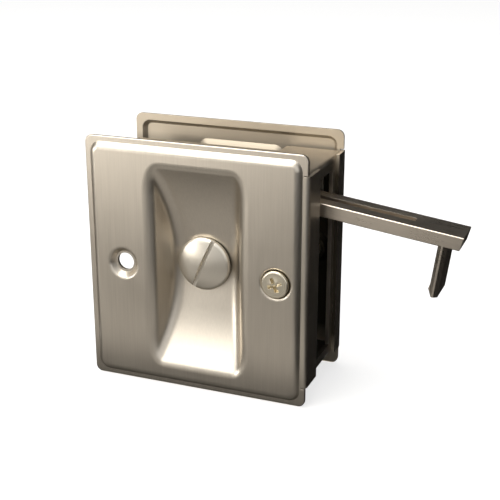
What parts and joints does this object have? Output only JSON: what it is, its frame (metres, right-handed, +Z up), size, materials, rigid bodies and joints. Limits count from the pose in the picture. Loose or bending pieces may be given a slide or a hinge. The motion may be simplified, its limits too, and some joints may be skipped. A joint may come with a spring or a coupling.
{
  "type": "sliding door lock",
  "caption": "Notch-type privacy lock for a sliding pocket door: two square plates with finger cups, a coin-slot turn, a thumb turn and a slide-out hook bar at the edge.",
  "frame": {"origin": "on the turn's axis, halfway between the two plates", "axes": "+X to the door's edge and the hook, +Y from the front plate to the rear plate, +Z up"},
  "size_m": [0.1011, 0.0352, 0.0698],
  "materials": {
    "satin_nickel_plate": "satin brushed nickel plate, grain upright",
    "satin_nickel_turn": "satin nickel, turned and polished on the rim",
    "case_steel": "plated folded steel",
    "bar_nickel": "satin nickel on a cast bar",
    "screw_nickel": "bright nickel screw",
    "mechanism_steel": "plain zinc-plated steel",
    "bushing_brass": "plain turned brass"
  },
  "bodies": {
    "lock": {"front_plate": "satin_nickel_plate", "rear_plate": "satin_nickel_plate", "case_frame": "case_steel", "guide_channel": "case_steel", "channel_rivets": "mechanism_steel", "stop_pin": "mechanism_steel", "front_bushing": "bushing_brass", "rear_bushing": "bushing_brass", "front_screw": "screw_nickel", "screw_post": "screw_nickel"},
    "carriage": {"pivot_pin": "mechanism_steel", "front_slide_shoe": "bushing_brass", "rear_slide_shoe": "bushing_brass"},
    "bar": {"hook_bar": "bar_nickel"},
    "turn": {"spindle": "mechanism_steel", "turn_button": "satin_nickel_turn", "thumb_turn": "satin_nickel_turn", "lock_cam": "mechanism_steel", "front_spring_washer": "mechanism_steel", "rear_spring_washer": "mechanism_steel"}
  },
  "joints": [
    {"name": "bar_slide", "type": "slide", "parent": "lock", "child": "carriage", "axis": [1, 0, 0], "range_m": [-0.035, 0]},
    {"name": "hook_tilt", "type": "hinge", "parent": "carriage", "child": "bar", "pos_m": [0.014, 0.0011, 0.0198], "axis": [0, 1, 0], "range_deg": [-7.5, 0]},
    {"name": "turn", "type": "hinge", "parent": "lock", "child": "turn", "pos_m": [0, 0, 0], "axis": [0, 1, 0], "range_deg": [-90, 0]}
  ]
}
